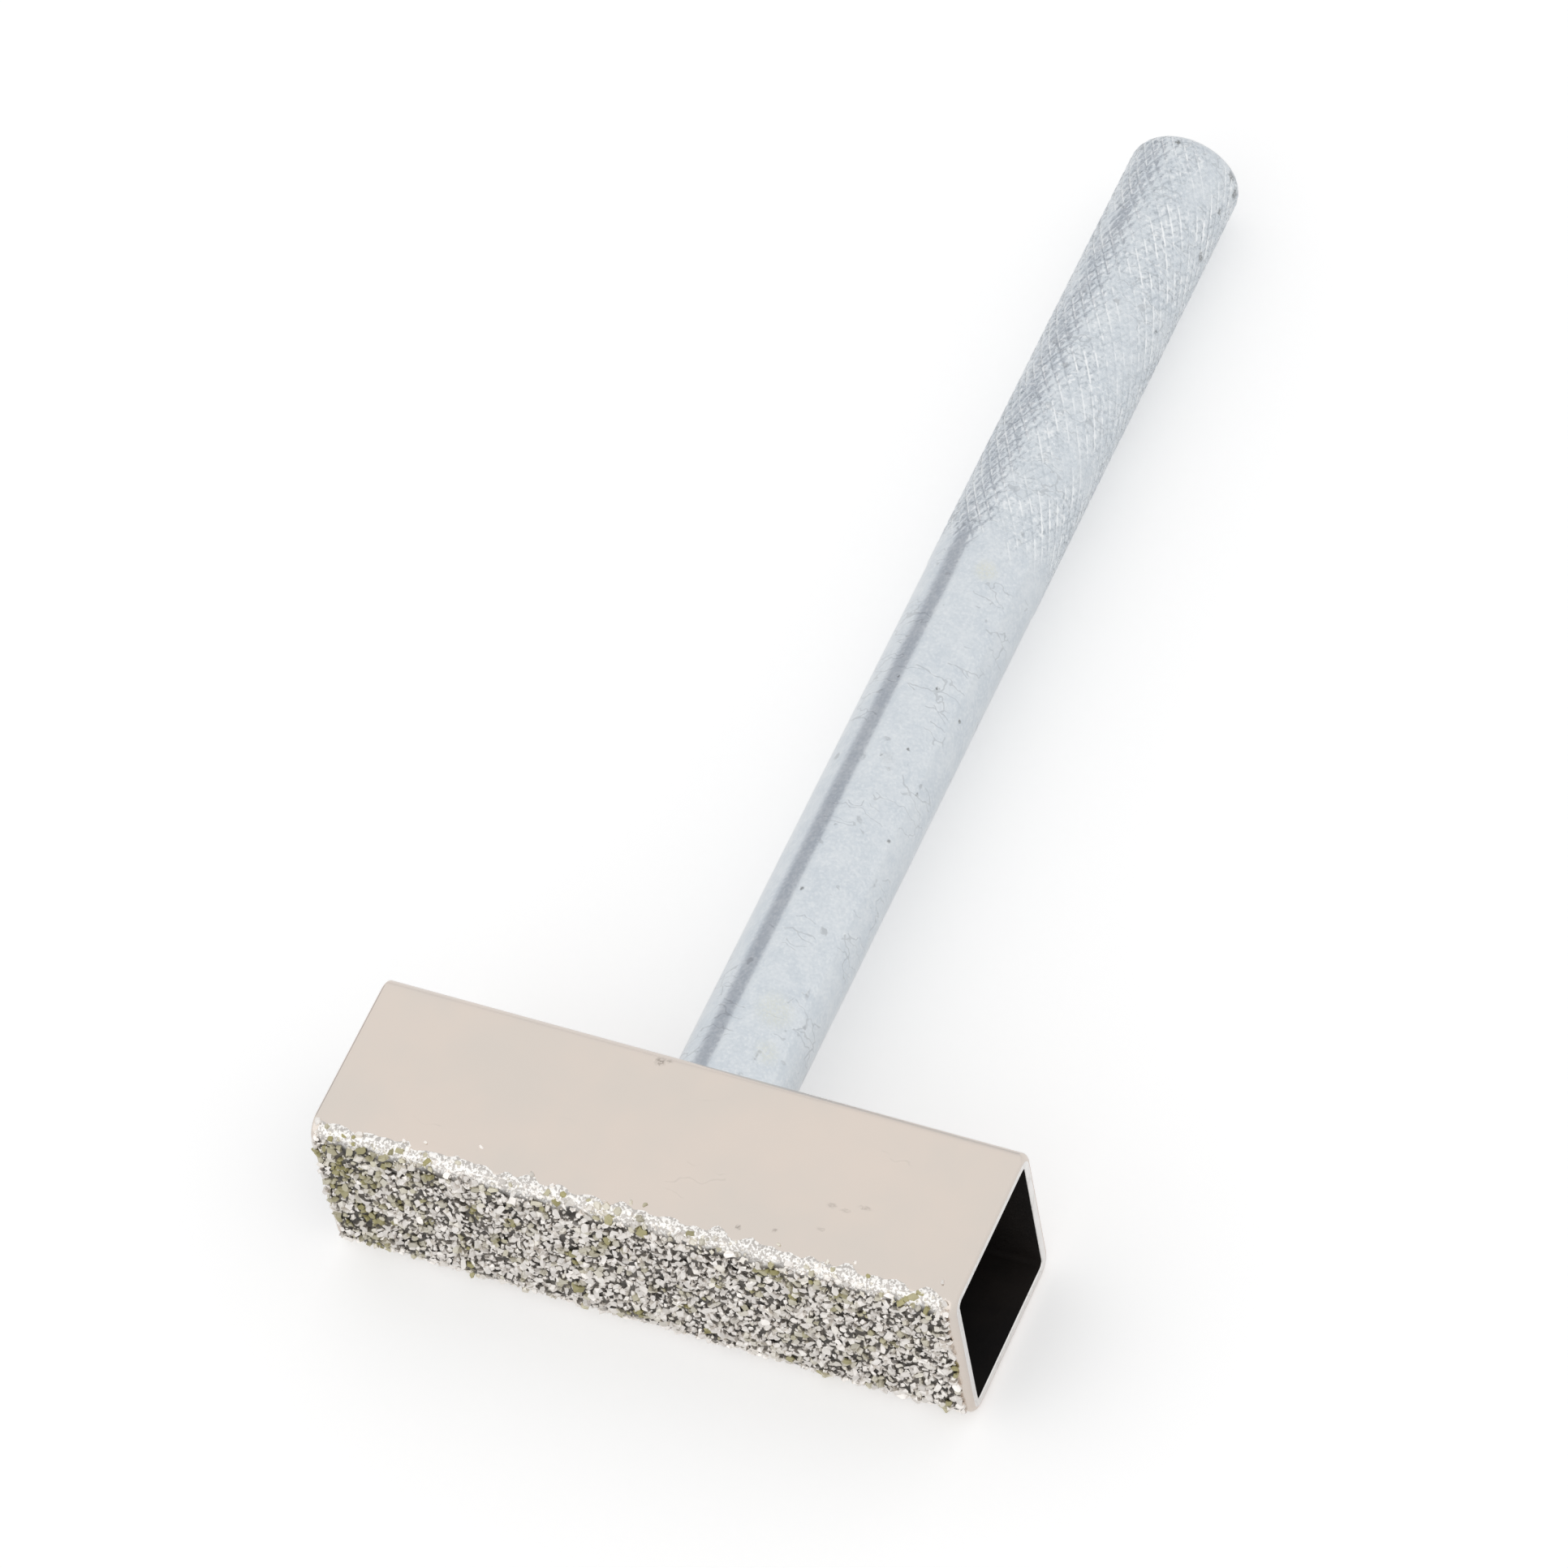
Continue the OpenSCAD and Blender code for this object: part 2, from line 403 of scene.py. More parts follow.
def makeZinc():
    made, tree, surface = newMaterial("zincPlate")
    place = addNode(tree, "TexCoord").outputs["Object"]
    plating = placeGroup(tree, platingGroup, place, Patch_Scale=700, Grain_Scale=4200)
    specks = placeGroup(tree, speckGroup, place, Scale=800, Size=0.32, Chance=0.15)
    scratches = placeGroup(tree, scratchGroup, place, Scale=420, Width=0.024, Cover=0.52)
    knurled = addNode(tree, "Attribute", attribute_name="knurled").outputs["Fac"]
    turns = addNode(tree, "SeparateXYZ")
    tree.links.new(addNode(tree, "UVMap", uv_map="knurlTurns").outputs[0], turns.inputs[0])
    first, second = (doMath(tree, "PINGPONG", turns.outputs[i], 0.5) for i in (0, 1))
    beside = doMath(tree, "PINGPONG", doMath(tree, "ADD", turns.outputs[0], zincLook["highlightShift"]), 0.5)
    flecks = setInputs(addNode(tree, "TexNoise"), Scale=zincLook["fleckScale"], Detail=2)
    tree.links.new(place, flecks.inputs["Vector"])
    fleck = flecks.outputs[0]
    # Knurl: a painted highlight in a thin line beside each groove, and painted shade in the grooves; light and dark
    # flecks where the fleck noise is high and low
    grooveHighlight = doMath(tree, "MULTIPLY", remap(tree, beside, 0.03, 0.10, 1, 0),
                  remap(tree, plating.outputs["Patch"], 0.35, 0.75, 0.1, 0.9))
    light = doMath(tree, "MAXIMUM", grooveHighlight, remap(tree, fleck, 0.54, 0.72, 0, zincLook["fleckLight"]))
    # Painted shade in the knurl's grooves
    grooveShade = remap(tree, doMath(tree, "MINIMUM", first, second), 0.03, 0.13, zincLook["grooveShadeShare"], 0)
    grooveShade = doMath(tree, "MULTIPLY", grooveShade, remap(tree, fleck, 0.4, 0.55, 1, 0.2))
    dark = doMath(tree, "MAXIMUM", grooveShade, remap(tree, fleck, 0.28, 0.46, zincLook["fleckDark"], 0))
    light, dark = (doMath(tree, "MULTIPLY", knurled, share) for share in (light, dark))
    colour = mixColour(tree, plating.outputs["Patch"], zincLook["cool"], zincLook["light"])
    crest = remap(tree, plating.outputs["Grain"], 0.5, 1, 0, zincLook["crestShare"])
    low = remap(tree, plating.outputs["Grain"], 0, 0.5, zincLook["lowShare"], 0)
    colour = mixColour(tree, crest, colour, zincLook["crest"])
    # The plating grain's low spots take the painted groove shade's colour
    colour = mixColour(tree, low, colour, zincLook["grooveShade"])
    colour = addMarks(tree, place, colour, zincLook["stains"], zincLook["green"])
    scratched = doMath(tree, "MULTIPLY", scratches.outputs[0], zincLook["scratchShare"])
    colour = mixColour(tree, scratched, colour, zincLook["scuff"])
    # Painted groove shade, together with the dark flecks
    colour = mixColour(tree, dark, colour, zincLook["grooveShade"])
    # Painted groove highlight, together with the light flecks
    colour = mixColour(tree, light, colour, zincLook["grooveHighlight"])
    specked = doMath(tree, "MULTIPLY", specks.outputs[0], zincLook["speckShare"])
    colour = mixColour(tree, specked, colour, zincLook["scuff"])
    colour = addMarks(tree, place, colour, zincLook["scuffs"], zincLook["scuff"])
    colour = addMarks(tree, place, colour, zincLook["pits"], zincLook["dirt"])
    tree.links.new(colour, surface.inputs["Base Color"])
    rough = remap(tree, plating.outputs["Grain"], 0, 1, *zincLook["rough"])
    rough = doMath(tree, "ADD", rough, doMath(tree, "MULTIPLY", knurled, zincLook["knurlRough"]))
    tree.links.new(rough, surface.inputs["Roughness"])
    surface.inputs["Metallic"].default_value = 1
    rises = doMath(tree, "MULTIPLY", doMath(tree, "MULTIPLY", knurled, fleck), zincLook["fleckRise"])
    addBump(tree, surface, doMath(tree, "ADD", plating.outputs["Height"], rises), 1, zincLook["bump"])
    return made


# Nickel between the grains: its near-black colour on the front is painted shade for the crevices, and its pale
# frosted colour on the corners carries a painted highlight
bondShadeAndHighlightLook = {
    "dark": (0.05, 0.046, 0.042),
    "light": (0.18, 0.165, 0.15),
    "frostDark": (0.54, 0.51, 0.48),
    "frostHighlight": (0.96, 0.94, 0.91),
    "rough": (0.32, 0.52),
}


def makeBond():
    made, tree, surface = newMaterial("gritBond")
    place = addNode(tree, "TexCoord").outputs["Object"]
    plating = placeGroup(tree, platingGroup, place, Patch_Scale=900, Grain_Scale=5200)
    # Front colour: painted shade for the crevices between the grains
    colour = mixColour(tree, plating.outputs["Patch"], bondShadeAndHighlightLook["dark"], bondShadeAndHighlightLook["light"])
    crisp = remap(tree, plating.outputs["Grain"], 0.35, 0.65, 0, 1)
    frosted = mixColour(tree, crisp, bondShadeAndHighlightLook["frostDark"], bondShadeAndHighlightLook["frostHighlight"])
    # Share of the pale corner colour, which carries a painted highlight
    frostAndHighlight = addNode(tree, "Attribute", attribute_name="frostAndHighlight").outputs["Fac"]
    colour = mixColour(tree, frostAndHighlight, colour, frosted)
    tree.links.new(colour, surface.inputs["Base Color"])
    tree.links.new(remap(tree, plating.outputs["Grain"], 0, 1, *bondShadeAndHighlightLook["rough"]), surface.inputs["Roughness"])
    surface.inputs["Metallic"].default_value = 1
    addBump(tree, surface, plating.outputs["Height"], 0.5, 0.00006)
    return made


# Grains: most have a skin of nickel, some show bare olive diamond. The attribute grainTint holds the bare
# share, the brightness and the roughness of each.
grainLook = {
    "coatedDark": (0.50, 0.472, 0.446),
    "coatedLight": (0.99, 0.95, 0.912),
    "bareDark": (0.22, 0.197, 0.070),
    "bareLight": (0.46, 0.414, 0.18),
    "bareMetal": 0.15,
    "rough": (0.30, 0.52),
    "index": 1.75,
}


def makeGrains():
    made, tree, surface = newMaterial("diamondGrains")
    tint = addNode(tree, "Attribute", attribute_name="grainTint")
    split = addNode(tree, "SeparateColor")
    tree.links.new(tint.outputs["Color"], split.inputs[0])
    place = addNode(tree, "TexCoord").outputs["Object"]
    plating = placeGroup(tree, platingGroup, place, Patch_Scale=1500, Grain_Scale=6000)
    coated = mixColour(tree, split.outputs[1], grainLook["coatedDark"], grainLook["coatedLight"])
    bare = mixColour(tree, split.outputs[1], grainLook["bareDark"], grainLook["bareLight"])
    colour = mixColour(tree, split.outputs[0], coated, bare)
    tree.links.new(colour, surface.inputs["Base Color"])
    tree.links.new(remap(tree, split.outputs[0], 0, 1, 1, grainLook["bareMetal"]), surface.inputs["Metallic"])
    tree.links.new(remap(tree, split.outputs[2], 0, 1, *grainLook["rough"]), surface.inputs["Roughness"])
    surface.inputs["IOR"].default_value = grainLook["index"]
    addBump(tree, surface, plating.outputs["Height"], 0.25, 0.00004)
    return made


nickel = makeNickel()
cutEdge = makeCutEdge()
weldMetal = makeWeldMetal()
boreSteelShade = makeBore()
zinc = makeZinc()
bondMetal = makeBond()
grainMetal = makeGrains()
print("materials made")


def finishPiece(bm, name, node, materials, smooth=True):
    for face in bm.faces:
        face.smooth = smooth
    mesh = bpy.data.meshes.new(name)
    bm.to_mesh(mesh)
    bm.free()
    mesh.transform(toolPlace @ Matrix.Scale(mm, 4))
    for material in materials:
        mesh.materials.append(material)
    piece = bpy.data.objects.new(name, mesh)
    scene.collection.objects.link(piece)
    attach(piece, "root")
    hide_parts(node)
    print(name, len(mesh.polygons), "faces")
    return piece


# Head: a square tube with rounded corners, open at both ends

head = {
    "length": 45,
    "side": 13,
    "wall": 1,
    "corner": 1.4,
    "cornerSteps": 10,
    "leftRound": 0.2,    # rounding of the plated outer edge at each end
    "rightRound": 0.45,
    "rimSteps": 5,
    "boreRound": 0.1,
    "boreSteps": 2,
}


# One end of the tube as a ring with round corners, drawn out to the other end
def makeHead():
    bm = bmesh.new()
    place = Matrix.Translation((-head["length"] / 2, head["side"] / 2, 0)) @ Matrix.Rotation(math.pi / 2, 4, "Y")
    bmesh.ops.create_grid(bm, x_segments=1, y_segments=1, size=head["side"] / 2, matrix=place)
    bmesh.ops.bevel(bm, geom=bm.verts[:], offset=head["corner"], offset_type="OFFSET", segments=head["cornerSteps"],
                    profile=0.5, affect="VERTICES", material=-1)
    ring = bmesh.ops.inset_region(bm, faces=bm.faces[:], thickness=head["wall"], use_even_offset=True,
                                  use_boundary=True)["faces"]
    bmesh.ops.delete(bm, geom=[f for f in bm.faces if f not in ring], context="FACES_ONLY")
    drawn = bmesh.ops.extrude_face_region(bm, geom=bm.faces[:])["geom"]
    bmesh.ops.translate(bm, vec=(head["length"], 0, 0), verts=[v for v in drawn if isinstance(v, bmesh.types.BMVert)])
    bmesh.ops.recalc_face_normals(bm, faces=bm.faces)
    middle = Vector((0, head["side"] / 2, 0))

    def outward(face):
        out = face.calc_center_median() - middle
        out.x = 0
        return face.normal.dot(out) / out.length

    edges = [e for e in bm.edges if sorted(abs(f.normal.x) > 0.9 for f in e.link_faces) == [False, True]]
    outer = [e for e in edges if any(outward(f) > 0.5 for f in e.link_faces)]
    inner = [e for e in edges if e not in outer]
    left = [e for e in outer if e.verts[0].co.x < 0]
    right = [e for e in outer if e.verts[0].co.x > 0]
    for geom, size, steps in ((left, head["leftRound"], head["rimSteps"]),
                              (right, head["rightRound"], head["rimSteps"]),
                              (inner, head["boreRound"], head["boreSteps"])):
        bmesh.ops.bevel(bm, geom=geom, offset=size, offset_type="OFFSET", segments=steps, profile=0.5,
                        affect="EDGES", material=-1)
    for face in bm.faces:
        face.material_index = 0 if outward(face) > 0.12 else 2 if abs(face.normal.x) > 0.1 else 1
    piece = finishPiece(bm, "headTube", "head_tube", [nickel, boreSteelShade, cutEdge])
    flat = piece.modifiers.new("flatFaces", "WEIGHTED_NORMAL")
    flat.weight = 100
    flat.keep_sharp = True
    return piece


makeHead()


# Handle: a turned rod with a plain shank and a fine crossed knurl

rod = {
    "length": 84,
    "footBevel": 0.8,
    "shankRadius": 3.95,
    "gripRadius": 4.0,
    "gripLength": 39,
    "runout": 0.4,
    "tipRound": 1.4,
    "tipSteps": 10,
    "turnSteps": 264,
    "shankRows": 30,
    "gripRows": 318,
    "dent": 0.014,       # height of the rod's slow unevenness
    "dentLength": 5,
    "mergeGap": 0.0005,
}

knurl = {
    "starts": 29,
    "helix": 32.5,       # degrees from the handle's axis
    "depth": 0.09,
    "width": 0.25,       # half width of a groove, as a share of the spacing
    "fade": 4,           # length over which the knurl starts
    "wobble": 0.16,      # wander of the grooves, as a share of the spacing
    "uneven": 0.6,       # how much of the depth comes and goes
}


def rodProfile(bm):
    tip = rod["length"] - rod["tipRound"]
    start = rod["length"] - rod["gripLength"]
    spots = [(0, 0), (rod["shankRadius"] - rod["footBevel"], 0), (rod["shankRadius"], rod["footBevel"]),
             (rod["shankRadius"], start), (rod["gripRadius"], start + rod["runout"]), (rod["gripRadius"], tip)]
    for i in range(1, rod["tipSteps"] + 1):
        a = math.pi / 2 * i / rod["tipSteps"]
        spots.append((rod["gripRadius"] - rod["tipRound"] * (1 - math.cos(a)), tip + rod["tipRound"] * math.sin(a)))
    spots.append((0, rod["length"]))
    verts = [bm.verts.new((r, head["side"] + y, 0)) for r, y in spots]
    edges = [bm.edges.new(pair) for pair in zip(verts, verts[1:])]
    for edge, rows in ((edges[2], rod["shankRows"]), (edges[4], rod["gripRows"])):
        bmesh.ops.subdivide_edges(bm, edges=[edge], cuts=rows)


# Place in each of the two crossed families of grooves, counted in grooves
def knurlTurns(angle, along):
    pitch = math.tau * rod["gripRadius"] / knurl["starts"] / math.tan(math.radians(knurl["helix"]))
    drift = Vector((math.cos(angle) * 1.4, math.sin(angle) * 1.4, along * 0.2))
    return [knurl["starts"] * angle / math.tau + hand * along / pitch
            + knurl["wobble"] * noise.noise(drift + Vector((0, 0, 9 * hand))) for hand in (-1, 1)]


# How strongly the knurl is rolled in: it starts raggedly, comes and goes, and ends on the tip's rounding
def knurlStrength(angle, along):
    start = rod["length"] - rod["gripLength"]
    drift = Vector((math.cos(angle) * 2, math.sin(angle) * 2, along * 0.3))
    ragged = 1.5 * noise.noise(Vector((math.cos(angle) * 3, math.sin(angle) * 3, 7)))
    fadeIn = blendStep(0, knurl["fade"], along - start - 0.3 + ragged)
    fadeOut = 1 - blendStep(0.25, 0.8, (along - rod["length"] + rod["tipRound"]) / rod["tipRound"])
    return (1 - knurl["uneven"] * (0.5 - noise.noise(drift))) * fadeIn * fadeOut


def makeHandle():
    bm = bmesh.new()
    rodProfile(bm)
    bmesh.ops.spin(bm, geom=bm.verts[:] + bm.edges[:], cent=(0, 0, 0), axis=(0, 1, 0), angle=math.tau,
                   steps=rod["turnSteps"], use_merge=True)
    bmesh.ops.remove_doubles(bm, verts=bm.verts, dist=rod["mergeGap"])
    bmesh.ops.recalc_face_normals(bm, faces=bm.faces)
    for e in bm.edges:
        e.smooth = not all(abs(v.co.y - head["side"] - rod["footBevel"]) < nearly for v in e.verts)
    knurled = bm.verts.layers.float.new("knurled")
    turnsMap = bm.loops.layers.uv.new("knurlTurns")
    turns = {v: knurlTurns(math.atan2(v.co.z, v.co.x), v.co.y - head["side"]) for v in bm.verts}
    for face in bm.faces:
        middle = face.calc_center_median()
        for loop in face.loops:
            away = math.atan2(middle.z, middle.x) - math.atan2(loop.vert.co.z, loop.vert.co.x)
            wrap = knurl["starts"] * round(away / math.tau)
            loop[turnsMap].uv = [t + wrap for t in turns[loop.vert]]
    for v in bm.verts:
        reach = math.hypot(v.co.x, v.co.z)
        if reach < rod["gripRadius"] - rod["tipRound"] - nearly:
            continue
        along = v.co.y - head["side"]
        dent = rod["dent"] * noise.noise(v.co / rod["dentLength"]) * blendStep(0.8, 3, along)
        v[knurled] = knurlStrength(math.atan2(v.co.z, v.co.x), along)
        near = min(abs(t - round(t)) for t in turns[v])
        cut = knurl["depth"] * v[knurled] * (1 - blendStep(0, knurl["width"], near))
        scale = (reach + dent - cut) / reach
        v.co.x *= scale
        v.co.z *= scale
    return finishPiece(bm, "handleRod", "handle", [zinc])


makeHandle()


# Weld: a small hollow fillet round the handle's foot, slightly lumpy

weld = {
    "leg": 0.8,
    "hollow": 1.15,
    "arcSteps": 7,
    "turnSteps": 120,
    "lump": 0.06,
    "lumpLength": 1.3,
    "root": 0.4,         # how far the weld goes under the shank's surface
    "clear": 0.002,      # gap to the tube's back, so that no faces coincide
}


def makeWeld():
    bm = bmesh.new()
    middle = weld["leg"] * weld["hollow"]
    reach = math.hypot(middle, middle - weld["leg"])
    low = math.atan2(-middle, weld["leg"] - middle)
    high = math.atan2(weld["leg"] - middle, -middle)
    spots = [(rod["shankRadius"] - weld["root"], weld["clear"])]
    for i in range(weld["arcSteps"] + 1):
        a = low + (high - math.tau * (high > low) - low) * i / weld["arcSteps"]
        spots.append((rod["shankRadius"] + middle + reach * math.cos(a), middle + reach * math.sin(a)))
    spots.append((rod["shankRadius"] - weld["root"], weld["leg"]))
    verts = [bm.verts.new((r, head["side"] + y, 0)) for r, y in spots]
    edges = [bm.edges.new(pair) for pair in zip(verts, verts[1:] + verts[:1])]
    bmesh.ops.spin(bm, geom=verts + edges, cent=(0, 0, 0), axis=(0, 1, 0), angle=math.tau,
                   steps=weld["turnSteps"], use_merge=True)
    bmesh.ops.recalc_face_normals(bm, faces=bm.faces)
    for v in bm.verts:
        over = math.hypot(v.co.x, v.co.z) - rod["shankRadius"]
        if over > 0.01:
            lump = weld["lump"] * noise.noise(v.co / weld["lumpLength"])
            v.co.y = max(v.co.y + lump * blendStep(0, 0.3, over), head["side"] + weld["clear"])
    return finishPiece(bm, "weldFillet", "weld_fillet", [weldMetal])


makeWeld()


# Grit: a lumpy skin of nickel over the tube's front, with grains set in it

grit = {
    "seed": 20,
    "shapes": 12,
    "batch": 50,
    "leftEnd": -22.25,
    "rightEnd": 21.95,
    "sink": 0.06,        # depth of the largest grain's middle under the nickel's mean height
    "bond": 0.14,        # thickness of the nickel between grains
    "bondStep": 0.2,
    "root": 0.25,        # depth to which the nickel goes into the tube's wall
    "lump": 0.07,
    "stray": 1.3,        # how far single grains lie beyond the corners
    "strayChance": 0.035,
    "ownLight": 0.48,    # share of a grain's brightness that is its own, and that it has from its patch
    "patchLight": 0.34,
    "bareLevel": 0.10,   # the lower this is, the more grains are bare, and what the left and upper parts take off it
    "bareLeft": 0.36,
    "bareUpper": 0.24,
}

grains = {
    "tries": 60000,
    "spacing": 0.42,
    "small": 0.17,       # radii
    "large": 0.36,
    "bare": 1,           # how far bare grains turn olive
    "glow": 0.35,        # least brightness
}

crumbs = {
    "tries": 60000,
    "spacing": 0.25,
    "small": 0.08,
    "large": 0.16,
    "bare": 0.3,
    # least brightness on the front: painted shade for the crevices between the grains
    "glow": 0.05,
    "onFront": 0.33,     # chance of a crumb
    "onCorner": 0.85,
}

flatHalf = head["side"] / 2 - head["corner"]
cornerRun = head["corner"] * math.pi / 2


# Point and outward direction on the tube's front and its two corners, s measured up from the middle
def skinPoint(s):
    side = math.copysign(1, s)
    past = abs(s) - flatHalf
    if past <= 0:
        return Vector((0, 0, s)), Vector((0, -1, 0))
    a = min(past, cornerRun) / head["corner"]
    out = Vector((0, -math.cos(a), side * math.sin(a)))
    centre = Vector((0, head["corner"] + max(past - cornerRun, 0), side * flatHalf))
    return centre + out * head["corner"], out


# Chance that a grain sits here: full on the front, thinning round the corners, a few strays beyond
def grainChance(s):
    past = (abs(s) - flatHalf) / cornerRun
    if past > 1:
        return grit["strayChance"] * (1 - (past - 1) * cornerRun / grit["stray"]) ** 2
    return 1 - 0.5 * blendStep(0.1, 0.45, past) - 0.47 * blendStep(0.45, 0.85, past)


# Small crumbs of plated grit fill in between the grains and crowd the corners
def crumbChance(s):
    past = (abs(s) - flatHalf) / cornerRun
    crowd = crumbs["onFront"] + (crumbs["onCorner"] - crumbs["onFront"]) * blendStep(-0.1, 0.15, past)
    return crowd * (1 - blendStep(0.4, 0.75, past))


# Spots no closer than the spacing, thinned by a chance that depends on s
def scatterSpots(rng, kind, reach, chance):
    cells, spots = {}, []
    gap = kind["spacing"]
    for _ in range(kind["tries"]):
        x, s = rng.uniform(grit["leftEnd"], grit["rightEnd"]), rng.uniform(-reach, reach)
        cx, cs = int(x // gap), int(s // gap)
        near = (p for i in (-1, 0, 1) for j in (-1, 0, 1) for p in cells.get((cx + i, cs + j), ()))
        if any((p[0] - x) ** 2 + (p[1] - s) ** 2 < gap * gap for p in near):
            continue
        cells.setdefault((cx, cs), []).append((x, s))
        if rng.random() < chance(s):
            spots.append((x, s))
    return spots


def makeBondSkin():
    bm = bmesh.new()
    frostAndHighlight = bm.verts.layers.float.new("frostAndHighlight")
    reach = flatHalf + cornerRun
    width = grit["rightEnd"] - grit["leftEnd"]
    middle = (grit["rightEnd"] + grit["leftEnd"]) / 2
    place = Matrix.Translation((middle, 0, 0)) @ Matrix.Diagonal((width, 2 * reach, 1, 1))
    bmesh.ops.create_grid(bm, x_segments=round(width / grit["bondStep"]),
                          y_segments=round(2 * reach / grit["bondStep"]), size=0.5, matrix=place)
    for v in bm.verts:
        x, s = v.co.x, v.co.y
        spot, out = skinPoint(s)
        past = (abs(s) - flatHalf) / cornerRun
        ragged = 0.25 * noise.noise(Vector((x * 0.9, s * 0.9, 3)))
        # bright: share of pale corner colour with its painted highlight, which also thins the nickel there
        bright = blendStep(0.07, 0.36, past + ragged)
        thin = (1 - 0.6 * bright) * (1 - blendStep(0.55, 0.85, past + ragged))
        edge = min(x - grit["leftEnd"], grit["rightEnd"] - x)
        thin *= blendStep(0, 0.5, edge + 0.3 * noise.noise(Vector((x * 2, s * 2, 9))))
        lift = grit["bond"] * thin + grit["lump"] * thin * noise.noise(Vector((x * 2.6, s * 2.6, 0)))
        v.co = spot + out * (lift - 0.03 * blendStep(0.3, 0, thin)) + Vector((x, 0, 0))
        v[frostAndHighlight] = bright
    made = bmesh.ops.extrude_face_region(bm, geom=bm.faces[:])
    under = [v for v in made["geom"] if isinstance(v, bmesh.types.BMVert)]
    bmesh.ops.translate(bm, vec=(0, grit["root"], 0), verts=under)
    bmesh.ops.recalc_face_normals(bm, faces=bm.faces)
    return finishPiece(bm, "gritBond", "grit_layer", [bondMetal])


# Blocky crystals and rounder nuggets, of unit size
def makeGrainShapes(rng):
    shapes = []
    for i in range(grit["shapes"]):
        bm = bmesh.new()
        if i % 3 == 0:
            bmesh.ops.create_icosphere(bm, subdivisions=1, radius=1)
        else:
            bmesh.ops.create_cube(bm, size=1.5)
            bmesh.ops.bevel(bm, geom=bm.verts[:], offset=rng.uniform(0.4, 0.65), offset_type="OFFSET", segments=1,
                            profile=0.5, affect="VERTICES", material=-1)
        for v in bm.verts:
            v.co *= rng.uniform(0.74, 1.22)
        bmesh.ops.recalc_face_normals(bm, faces=bm.faces)
        shape = bpy.data.meshes.new("grainShape")
        bm.to_mesh(shape)
        bm.free()
        shapes.append(shape)
    return shapes


# Share of bare, olive diamond: in small clusters, more of them at the left end and along the upper corner
def bareShare(x, s, rng):
    past = (s - flatHalf) / cornerRun
    clusters = noise.noise(Vector((x * 0.75, s * 0.75, 40)))
    level = grit["bareLevel"] - grit["bareLeft"] * blendStep(-14, -21, x)
    level -= grit["bareUpper"] * blendStep(-0.5, 0.3, past)
    return 0.02 + 0.98 * blendStep(level, level + 0.75, clusters + rng.uniform(-0.35, 0.35))


def addGrain(bm, tint, shapes, x, s, kind, rng):
    spot, out = skinPoint(s)
    past = max((abs(s) - flatHalf) / cornerRun, 0)
    size = rng.uniform(kind["small"], kind["large"]) * (1 - 0.45 * blendStep(0.3, 1.1, past))
    spin = Vector([rng.gauss(0, 1) for _ in range(3)]).normalized()
    turn = Matrix.Rotation(rng.uniform(0, math.tau), 4, spin)
    stretch = Matrix.Diagonal((rng.uniform(1, 1.45), rng.uniform(0.7, 1.05), rng.uniform(0.6, 0.95), 1))
    bed = grit["bond"] * (1 - blendStep(0, 0.4, past))
    at = spot + out * (bed - grit["sink"] * size / grains["large"] + size * rng.uniform(0, 0.4)) + Vector((x, 0, 0))
    patch = 0.5 + 0.9 * noise.noise(Vector((x * 0.9, s * 0.9, 60)))
    # On the front, crumbs get a low least brightness, painted shade for the crevices they lie in; on the corners it
    # rises to the grains' level, and every grain's brightness is pushed apart, most of it up to full, a painted
    # highlight for the bright corner band
    onCorner = blendStep(0, 0.2, past)
    glow = kind["glow"] + (grains["glow"] - kind["glow"]) * onCorner
    level = grit["ownLight"] * rng.random() + grit["patchLight"] * patch
    level += (blendStep(0.12, 0.42, level) - level) * onCorner
    shade = (kind["bare"] * bareShare(x, s, rng), glow + (1 - glow) * level, rng.random(), 1)
    bm.from_mesh(rng.choice(shapes))
    bm.verts.ensure_lookup_table()
    fresh = [v for v in bm.verts if not v.tag]
    bmesh.ops.transform(bm, matrix=Matrix.Translation(at) @ turn @ stretch @ Matrix.Scale(size, 4), verts=fresh)
    for v in fresh:
        v[tint] = shade
        v.tag = True


# Grains are set in small batches, which bmesh handles faster, and then gathered
def makeGrainField(name, rng, shapes, spots, kind):
    field = bmesh.new()
    field.verts.layers.float_color.new("grainTint")
    for first in range(0, len(spots), grit["batch"]):
        bm = bmesh.new()
        tint = bm.verts.layers.float_color.new("grainTint")
        for x, s in spots[first:first + grit["batch"]]:
            addGrain(bm, tint, shapes, x, s, kind, rng)
        batch = bpy.data.meshes.new("grainBatch")
        bm.to_mesh(batch)
        bm.free()
        field.from_mesh(batch)
        bpy.data.meshes.remove(batch)
    return finishPiece(field, name, "grit_layer", [grainMetal], smooth=False)


def makeGrit():
    rng = random.Random(grit["seed"])
    shapes = makeGrainShapes(rng)
    corner = flatHalf + cornerRun
    spots = scatterSpots(rng, grains, corner + grit["stray"], grainChance)
    makeGrainField("gritGrains", rng, shapes, spots, grains)
    spots = scatterSpots(rng, crumbs, corner, crumbChance)
    makeGrainField("gritCrumbs", rng, shapes[::3], spots, crumbs)
    for shape in shapes:
        bpy.data.meshes.remove(shape)


makeBondSkin()
makeGrit()


# Studio: white surroundings, a pale floor and a large soft box in front and above. The sky that the metal
# mirrors is dimmer in a band at the left of the back, and low at the back.

